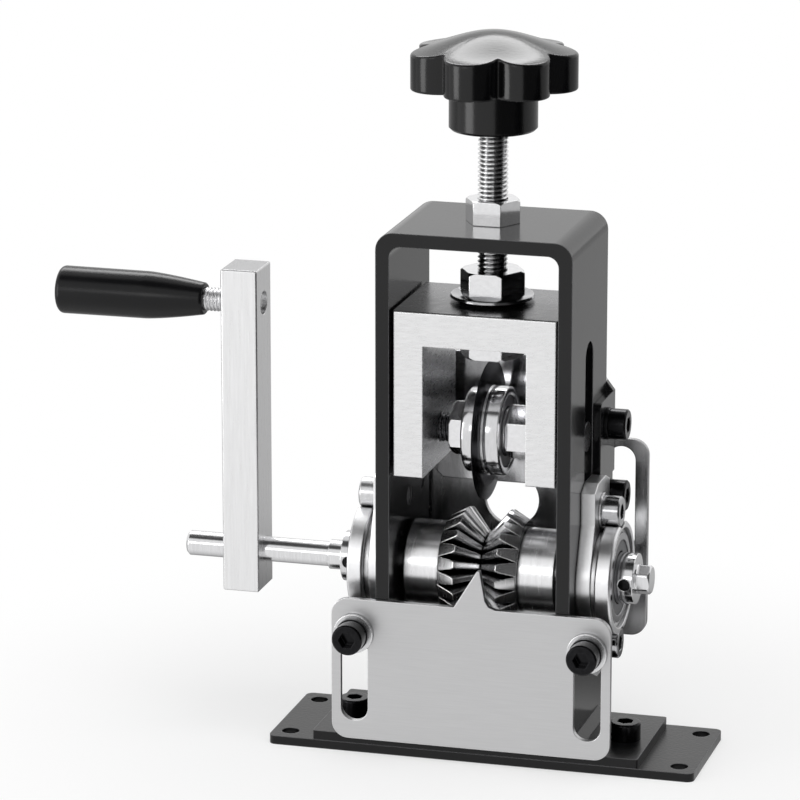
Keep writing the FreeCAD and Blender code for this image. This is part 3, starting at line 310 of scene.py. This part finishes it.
def surface(name, points, mat, body, ring=False):
    """Mesh from a grid of points, rows along v and columns round u, that closes round u.
    Its two ends are closed by a fan to their middles, or joined to each other for a ring."""
    rows, cols = points.shape[:2]
    flat = points.reshape(-1, 3)
    row, col = np.meshgrid(np.arange(rows if ring else rows - 1), np.arange(cols), indexing="ij")
    next_row, next_col = (row + 1) % rows, (col + 1) % cols
    corners = [(row, col), (row, next_col), (next_row, next_col), (next_row, col)]
    faces = np.stack([r * cols + c for r, c in corners], -1).reshape(-1, 4).tolist()
    if not ring:
        here, following = np.arange(cols), (np.arange(cols) + 1) % cols
        low_middle, high_middle, last_row = len(flat), len(flat) + 1, len(flat) - cols
        faces += np.stack([np.full(cols, low_middle), following, here], -1).tolist()
        faces += np.stack([np.full(cols, high_middle), last_row + here, last_row + following], -1).tolist()
        flat = np.vstack([flat, flat[:cols].mean(0), flat[-cols:].mean(0)])
    data = bpy.data.meshes.new(name)
    data.from_pydata(flat.tolist(), [], faces)
    data.validate()
    data.update()
    data.polygons.foreach_set("use_smooth", np.ones(len(data.polygons), dtype=bool))
    data.set_sharp_from_angle(angle=SHARP)
    obj = bpy.data.objects.new(name, data)
    bpy.context.scene.collection.objects.link(obj)
    data.materials.append(mat)
    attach(obj, body)
    return obj


def centre_line(low, high, axis):
    """The middle of a box, moved along the axis to 0."""
    middle = (low + high) / 2
    middle[axis] = 0
    return middle


def full_turn(count):
    """Angles that divide a full turn into count equal steps."""
    return np.linspace(0, 2 * np.pi, count, endpoint=False)


def round_axis(along, radius, angle, centre, axis):
    """Points at a place along the axis through centre, and at a radius and an angle round it."""
    first, second = [(1, 2), (2, 0), (0, 1)][axis]
    points = np.zeros((*np.broadcast(along, radius, angle).shape, 3))
    points[..., axis] = along
    points[..., first] = radius * np.cos(angle)
    points[..., second] = radius * np.sin(angle)
    return points + centre


def turned(profile, centre, axis, around=96):
    """Points of a turned shape: each (along, radius) of the profile swept round the axis through centre."""
    along, radius = np.array(profile, float).T[..., None]
    return round_axis(along, radius, full_turn(around), centre, axis)


bar_metal = brushed("brushed bar", (0.76, 0.76, 0.765), 0.28, (1500, 1500, 60), contrast=0.05)
# painted shade: the bar is darker where it faces up
painted_shade_on_top(bar_metal, (0.36, 0.36, 0.365))
dress(bar_metal, "crank_arm")

GRIP_END_BACK, GRIP_CORNER, GRIP_CORNER_STEPS, GRIP_LIP, BARREL_ROWS = 0.0022, 0.0018, 9, 0.0004, 60
GRIP_TAPER_FROM, GRIP_TAPER_EASE, GRIP_NECK_SHARE, BARREL_TAPER = 0.60, 1.35, 0.66, 0.02
grip_low, grip_high = np.array(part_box("handle_grip"))
grip_low[0] += GRIP_END_BACK
grip_len = grip_high[0] - grip_low[0]
grip_r = (grip_high[2] - grip_low[2]) / 2
# flat outer end with a rounded corner, a nearly straight barrel, then a taper that eases in
quarter = np.linspace(0, np.pi / 2, GRIP_CORNER_STEPS)
corner_x = GRIP_CORNER * (1 - np.cos(quarter))
corner_r = grip_r - GRIP_CORNER * (1 - np.sin(quarter))
barrel_x = np.linspace(GRIP_CORNER, grip_len - GRIP_LIP, BARREL_ROWS)[1:]
bend = np.clip((barrel_x / grip_len - GRIP_TAPER_FROM) / (1 - GRIP_TAPER_FROM), 0, 1) ** GRIP_TAPER_EASE
barrel_r = grip_r * (1 - BARREL_TAPER * barrel_x / grip_len - (1 - BARREL_TAPER - GRIP_NECK_SHARE) * bend)
grip_x = grip_low[0] + np.concatenate([corner_x, barrel_x, [grip_len]])
grip_radii = np.concatenate([corner_r, barrel_r, [barrel_r[-1] - GRIP_LIP]])
grip_points = turned(np.stack([grip_x, grip_radii], -1), centre_line(grip_low, grip_high, 0), 0)
black_plastic = enamel("black grip", (0.003, 0.003, 0.0035), 0.22, peel=0.0002, gloss=0.25)
grip = surface("grip", grip_points, black_plastic, "handle")
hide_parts("handle_grip")

# shares of the pitch, and the rows and columns of a thread's grid
THREAD_DEPTH, THREAD_CREST, ROWS_PER_PITCH, THREAD_AROUND = 0.61, 0.2, 8, 40


def threaded(low, high, radius, pitch, centre, axis):
    """Threaded rod from low to high: its radius is a triangle wave of (along / pitch - angle / turn), cut
    off flat at the crest, and the wave fades in and out over a pitch at both ends."""
    along = np.linspace(low, high, int((high - low) / pitch * ROWS_PER_PITCH))[:, None]
    angle = full_turn(THREAD_AROUND)
    wave = np.abs(((along / pitch - angle / (2 * np.pi)) % 1.0) * 2 - 1)
    fade = np.clip(np.minimum(along - low, high - along) / pitch, 0, 1)
    depth = THREAD_DEPTH * pitch * (1 - np.clip(wave / (1 - THREAD_CREST), 0, 1)) * fade
    return round_axis(along, radius - depth, angle, centre, axis)


STUD_THREAD_R, STUD_SPINDLE_R, STUD_HEAD, STUD_PITCH = 0.004, 0.0035, 0.002, 0.00125
STUD_CHAMFER, SHOULDER_PLAY, SHOULDER_STEP = 0.0003, 0.0004, 0.00001
stud_low, stud_high = np.array(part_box("handle_stud"))
stud_head_r = (stud_high[2] - stud_low[2]) / 2
stud_axis = centre_line(stud_low, stud_high, 0)
shoulder = grip_high[0] + SHOULDER_PLAY
plain_end = [(stud_low[0], stud_head_r - STUD_CHAMFER), (stud_low[0] + STUD_CHAMFER, stud_head_r),
             (stud_low[0] + STUD_HEAD, stud_head_r), (stud_low[0] + STUD_HEAD, STUD_SPINDLE_R),
             (shoulder - SHOULDER_STEP, STUD_SPINDLE_R)]
stud_points = np.concatenate([turned(plain_end, stud_axis, 0, THREAD_AROUND),
                              threaded(shoulder, stud_high[0], STUD_THREAD_R, STUD_PITCH, stud_axis, 0)])
stud = surface("stud_thread", stud_points, zinc, "drive")
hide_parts("handle_stud")


# ---- carriage, blade and its axle -----------------------------------------
# A brushed steel bridge that slides in the frame and holds the ground blade
# disc on a ball bearing, between two nuts on a threaded axle.
carriage_metal = brushed("brushed carriage", (0.74, 0.74, 0.745), 0.27, (260, 300, 1900), contrast=0.06)
# painted shade: the top face is darker, in place of the dark frame wall that it mirrors
painted_shade_on_top(carriage_metal, (0.17, 0.17, 0.175))
dress(carriage_metal, "carriage_block")
blade_steel = brushed("blade steel", (0.030, 0.030, 0.032), 0.20, (300, 1500, 1500), contrast=0.3)
blade_shader = blade_steel.node_tree.nodes["Principled BSDF"]
blade_shader.inputs["Specular Tint"].default_value = (0.62, 0.62, 0.63, 1)
dress(blade_steel, "blade_disc")
bright = brushed("bright nut", (0.76, 0.76, 0.77), 0.10, (500, 500, 700), contrast=0.05, depth=0.00001)
dress(bright, "blade_axle_nuts", "carriage_top_nut", "carriage_bottom_nut", "frame_nut")
dress(nickel, "carriage_washer")

# the ring that carries the blade: a shoulder on the left, the blade's seat, a groove, then the ring;
# a rounded corner ends at ROUND from its point and passes EASE inside it
BORE_R, BORE_CHAMFER, BORE_FLARE, SEAT_SIDE = 0.0121, 0.0003, 0.0004, 0.0003
SHOULDER_OUT, SHOULDER_R, SHOULDER_EASE, SHOULDER_ROUND = 0.0028, 0.0142, 0.0003, 0.0008
RING_EASE, RING_ROUND = 0.0002, 0.0007
GROOVE_R, GROOVE_FROM_SEAT = 0.0145, (0.0001, 0.0003, 0.0011, 0.0015)
ring_low, ring_high = np.array(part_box("blade_bearing_outer_ring"))
blade_low, blade_high = np.array(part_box("blade_disc"))
ring_r = (ring_high[2] - ring_low[2]) / 2
left, right, seat_left = ring_low[0] - SHOULDER_OUT, ring_high[0], blade_low[0] - SEAT_SIDE
groove_x = blade_high[0] + np.array(GROOVE_FROM_SEAT)
ring_profile = [(left, BORE_R), (left, SHOULDER_R - RING_ROUND),
                (left + SHOULDER_EASE, SHOULDER_R - RING_EASE), (left + SHOULDER_ROUND, SHOULDER_R),
                (seat_left, SHOULDER_R), (seat_left, ring_r),
                *zip(groove_x, (ring_r, GROOVE_R, GROOVE_R, ring_r)),
                (right - RING_ROUND, ring_r), (right - RING_EASE, ring_r - RING_EASE),
                (right, ring_r - RING_ROUND), (right, BORE_R + BORE_FLARE), (right - BORE_CHAMFER, BORE_R)]
ring_points = turned(ring_profile, centre_line(ring_low, ring_high, 0), 0)
blade_ring = surface("blade_ring", ring_points, ground_steel, "blade", ring=True)
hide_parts("blade_bearing_outer_ring")

M10_RADIUS, M10_PITCH = 0.005, 0.0015
axle_low, axle_high = np.array(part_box("blade_axle"))
axle_axis = centre_line(axle_low, axle_high, 0)
axle_points = threaded(axle_low[0], axle_high[0], M10_RADIUS, M10_PITCH, axle_axis, 0)
dark_stud = brushed("dark stud", (0.10, 0.10, 0.105), 0.26, (600, 600, 600), contrast=0.25)
axle = surface("axle_thread", axle_points, dark_stud, "carriage")
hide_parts("blade_axle")


# ---- adjusting screw and star knob ----------------------------------------
# A bright threaded rod with a glossy moulded knob of seven lobes on a round
# hub; a brass insert inside the knob holds the thread.
screw_low, screw_high = np.array(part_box("adjusting_screw"))
screw_axis = centre_line(screw_low, screw_high, 2)
screw_points = threaded(screw_low[2], screw_high[2], M10_RADIUS, M10_PITCH, screw_axis, 2)
rolled = brushed("rolled thread", (0.80, 0.80, 0.81), 0.16, (500, 500, 700), contrast=0.05, depth=0.00001)
# painted shade darkens the thread's roots
screw = surface("screw_thread", screw_points, shaded_in_recesses(rolled, 0.0012, (0.02, 0.02, 0.02)), "adjuster")
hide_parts("adjusting_screw")
dress(brushed("brass", (0.70, 0.52, 0.24), 0.25, (700, 700, 200)), "knob_insert")

KNOB_R, LOBE_ARC, LOBES, BLEND, VALLEY_AT = 0.0278, 0.0091, 7, 0.0012, math.radians(-72.0)
HUB_R, HUB_HEIGHT, RIM_HEIGHT, UNDER_EDGE, TOP_EDGE = 0.0146, 0.0138, 0.0122, 0.0008, 0.0010
BELL_SPREAD, TOP_OUTER, TOP_INNER = 0.85, 0.97, 0.01
COLUMNS_PER_LOBE, EDGE_STEPS, SIDE_ROWS, TOP_ROWS = 48, 6, 4, 30
knob_low, knob_high = np.array(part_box("star_knob"))
angle = full_turn(LOBES * COLUMNS_PER_LOBE)
# seven circles of radius LOBE_ARC round the hub, blended where they meet; a valley faces the front
lobe_at = VALLEY_AT + (np.arange(LOBES) + 0.5) * 2 * np.pi / LOBES
off = angle[:, None] - lobe_at
centre_r = KNOB_R - LOBE_ARC
arc = centre_r * np.cos(off) + np.sqrt(np.clip(LOBE_ARC ** 2 - (centre_r * np.sin(off)) ** 2, 0, None))
outline = np.minimum(BLEND * np.log(np.exp(arc / BLEND).sum(1)), KNOB_R)
rim_low = knob_low[2] + HUB_HEIGHT
rim_high = rim_low + RIM_HEIGHT


def dome(r):
    """Height of the knob's top at radius r: a bell that is still falling where the lobes end."""
    bell = (1 + np.cos(BELL_SPREAD * np.pi * r / KNOB_R)) / 2
    foot = (1 + math.cos(BELL_SPREAD * math.pi)) / 2
    return rim_high + (knob_high[2] - rim_high) * (bell - foot) / (1 - foot)


# rows from the hub's foot up: the hub, the lobes' lower edge, side and upper edge, then the domed top
quarter = np.linspace(0, np.pi / 2, EDGE_STEPS)[:, None]
even = np.ones_like(angle)
hub_r = np.outer([HUB_R - UNDER_EDGE, HUB_R, HUB_R], even)
hub_z = np.outer([knob_low[2], knob_low[2] + UNDER_EDGE, rim_low], even)
under_r = outline - UNDER_EDGE * (1 - np.sin(quarter))
under_z = (rim_low + UNDER_EDGE * (1 - np.cos(quarter))) * even
side_z = np.linspace(rim_low + UNDER_EDGE, dome(outline) - TOP_EDGE, SIDE_ROWS)[1:]
side_r = outline + np.zeros_like(side_z)
edge_r = outline - TOP_EDGE * (1 - np.cos(quarter))
edge_z = dome(outline) - TOP_EDGE * (1 - np.sin(quarter))
inward = np.linspace(TOP_OUTER, TOP_INNER, TOP_ROWS)[:, None]
knob_r = np.concatenate([hub_r, under_r, side_r, edge_r[1:], inward * (outline - TOP_EDGE)])
knob_z = np.concatenate([hub_z, under_z, side_z, edge_z[1:], dome(inward * outline)])
moulded = enamel("black knob", (0.002, 0.002, 0.0024), 0.17, peel=0.0002, gloss=0.36)
knob = surface("knob", round_axis(knob_z, knob_r, angle, screw_axis, 2), moulded, "adjuster")
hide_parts("star_knob")


# ---- studio ---------------------------------------------------------------
# A white table that ends in front of the object and a white room round it, dark
# above the viewer and on their right, so that black and polished sides get form.
VIEW_AROUND, VIEW_UP, VIEW_AWAY = 15.694, 14.995, 1.5606
TABLE_FRONT, TABLE_BACK, TABLE_HALF_WIDTH, TABLE_WHITE = -0.30, 6, 3, (0.93, 0.93, 0.93)
# where the table's tone changes, in metres, and the values that it changes between
BEHIND, BEHIND_DIM = (-0.06, 0.10), 0.45
CLOSE_DIM = (0.12, 0.32, 0.85, 0.0)
AT_RIGHT, IN_FRONT = (0.08, 0.30), (0.05, 0.30, 1.0, 0.0)
SHADOW_FADES = (0.09, 0.24, 0.5, 1.0)


def eased(n, l, value, *span):
    """A ramp that starts and ends gently."""
    return ramp(n, l, value, *span, kind="SMOOTHSTEP")


def background_ray(n, l):
    """Two sockets: 1 for a mirror's ray, and 1 for a ray of the camera, of a mirror or through glass."""
    path = n.new("ShaderNodeLightPath").outputs
    either = calc(n, l, "MAXIMUM", path["Is Camera Ray"], path["Is Glossy Ray"])
    return path["Is Glossy Ray"], calc(n, l, "MAXIMUM", either, path["Is Transmission Ray"])


def table_white():
    """White paper that shows the object's shadow near it and fades to the white background further out.
    Mirrors see it dimmed behind the object, more so close to it, and black at its right front."""
    mat = new_material("table white")
    n, l, p = shader(mat)
    p.inputs["Base Color"].default_value = (*TABLE_WHITE, 1)
    p.inputs["Roughness"].default_value = 0.9
    p.inputs["Specular IOR Level"].default_value = 0.0
    where = n.new("ShaderNodeTexCoord").outputs["Object"]
    place = n.new("ShaderNodeSeparateXYZ")
    l.new(where, place.inputs["Vector"])
    length = n.new("ShaderNodeVectorMath")
    length.operation = "LENGTH"
    l.new(where, length.inputs[0])
    distance = length.outputs["Value"]
    mirror, seen = background_ray(n, l)
    behind = eased(n, l, place.outputs["Y"], *BEHIND)
    far_behind = eased(n, l, behind, 0.0, 1.0, 0.0, BEHIND_DIM)
    close_behind = calc(n, l, "MULTIPLY", behind, eased(n, l, distance, *CLOSE_DIM))
    right_front = calc(n, l, "MULTIPLY", eased(n, l, place.outputs["X"], *AT_RIGHT),
                       eased(n, l, place.outputs["Y"], *IN_FRONT))
    dimmed = calc(n, l, "MAXIMUM", calc(n, l, "MAXIMUM", right_front, far_behind), close_behind)
    glow = n.new("ShaderNodeEmission")
    l.new(calc(n, l, "SUBTRACT", 1.0, calc(n, l, "MULTIPLY", dimmed, mirror)), glow.inputs["Strength"])
    unshaded = calc(n, l, "MAXIMUM", eased(n, l, distance, *SHADOW_FADES), mirror)
    mix = n.new("ShaderNodeMixShader")
    l.new(calc(n, l, "MULTIPLY", unshaded, seen), mix.inputs["Fac"])
    l.new(p.outputs["BSDF"], mix.inputs[1])
    l.new(glow.outputs["Emission"], mix.inputs[2])
    l.new(mix.outputs["Shader"], n["Material Output"].inputs["Surface"])
    return mat


table_corners = [(-TABLE_HALF_WIDTH, TABLE_FRONT, 0), (TABLE_HALF_WIDTH, TABLE_FRONT, 0),
                 (TABLE_HALF_WIDTH, TABLE_BACK, 0), (-TABLE_HALF_WIDTH, TABLE_BACK, 0)]
floor_data = bpy.data.meshes.new("floor")
floor_data.from_pydata(table_corners, [], [(0, 1, 2, 3)])
floor = bpy.data.objects.new("floor", floor_data)
bpy.context.scene.collection.objects.link(floor)
floor_data.materials.append(table_white())

world = bpy.data.worlds.new("studio")
bpy.context.scene.world = world
world.use_nodes = True
wn, wl = world.node_tree.nodes, world.node_tree.links
sky = wn["Background"]
sky.inputs["Color"].default_value = (1, 1, 1, 1)
direction = wn.new("ShaderNodeTexCoord").outputs["Generated"]


def part_along(axis):
    """How far the ray points along a fixed direction of the room."""
    dot = wn.new("ShaderNodeVectorMath")
    dot.operation = "DOT_PRODUCT"
    dot.inputs[1].default_value = axis
    wl.new(direction, dot.inputs[0])
    return dot.outputs["Value"]


def heading(around, up):
    """Direction around degrees to the right of the viewer and up degrees above the table."""
    turned_by, raised = math.radians(VIEW_AROUND + around), math.radians(up)
    level = math.cos(raised)
    return Vector((math.sin(turned_by) * level, -math.cos(turned_by) * level, math.sin(raised)))


# the room's light on the object, and how much darker mirrors see its dark side, whose parts fade in
# between two cosines from straight up, from the right and from the front
ROOM_LIGHT, DARK_SIDE = 0.55, 0.92
CEILING, RIGHT_WALL, FRONT_WALL = (0.70, 0.86), (0.0, 0.10), (-0.10, 0.08)
ceiling = eased(wn, wl, part_along((0, 0, 1)), *CEILING)
right_wall = eased(wn, wl, part_along(heading(90, 0)), *RIGHT_WALL)
front_wall = eased(wn, wl, part_along(heading(0, 0)), *FRONT_WALL)
dark = calc(wn, wl, "MULTIPLY", front_wall, calc(wn, wl, "MAXIMUM", ceiling, right_wall))
mirror, seen = background_ray(wn, wl)
dark_in_mirror = eased(wn, wl, calc(wn, wl, "MULTIPLY", dark, mirror), 0.0, 1.0, 0.0, DARK_SIDE)
room = eased(wn, wl, seen, 0.0, 1.0, ROOM_LIGHT, 1.0)
wl.new(calc(wn, wl, "SUBTRACT", room, dark_in_mirror), sky.inputs["Strength"])

OBJECT_MIDDLE, VIEW_TARGET = Vector((0, 0, 0.12)), Vector((-0.03318, -0.00105, 0.11677))


def set_up(obj, target, toward, away):
    """Puts a lamp or the camera away from its target in the direction toward, facing it."""
    obj.location = target + toward * away
    obj.rotation_euler = (-toward).to_track_quat("-Z", "Y").to_euler()
    bpy.context.scene.collection.objects.link(obj)


def softbox(name, around, up, away, size, brightness, mirrored, lights=True):
    """Rectangular lamp of the given brightness, where 1 is white, that faces the object.
    It stands around degrees to the right of the viewer and up degrees above the table.
    mirrored says if polished metal shows it, lights if it lights matt surfaces too."""
    data = bpy.data.lights.new(name, "AREA")
    data.shape = "RECTANGLE"
    width, height = size
    data.size, data.size_y = width, height
    data.energy = brightness * math.pi * width * height
    lamp = bpy.data.objects.new(name, data)
    lamp.visible_glossy = mirrored
    lamp.visible_diffuse = lights
    set_up(lamp, OBJECT_MIDDLE, heading(around, up), away)


softbox("overhead", 0, 78, 1.4, size=(1.2, 1.2), brightness=2.0, mirrored=False)
softbox("left", -66, 4, 1.5, size=(0.6, 1.1), brightness=3.4, mirrored=True)
softbox("right", 55, 18, 1.5, size=(0.5, 1.2), brightness=2.1, mirrored=False)
softbox("front left", -31, 15, 1.7, size=(0.55, 0.36), brightness=2.0, mirrored=True, lights=False)
softbox("behind", -170, 46, 1.5, size=(1.2, 0.50), brightness=5.5, mirrored=True, lights=False)

camera_data = bpy.data.cameras.new("camera")
camera_data.sensor_fit = "HORIZONTAL"
camera_data.sensor_width = 36.0
camera_data.lens = 211.26
camera_data.clip_start = 0.05
camera_data.clip_end = 50
camera = bpy.data.objects.new("camera", camera_data)
set_up(camera, VIEW_TARGET, heading(0, VIEW_UP), VIEW_AWAY)
bpy.context.scene.camera = camera
bpy.context.scene.view_settings.view_transform = "Standard"
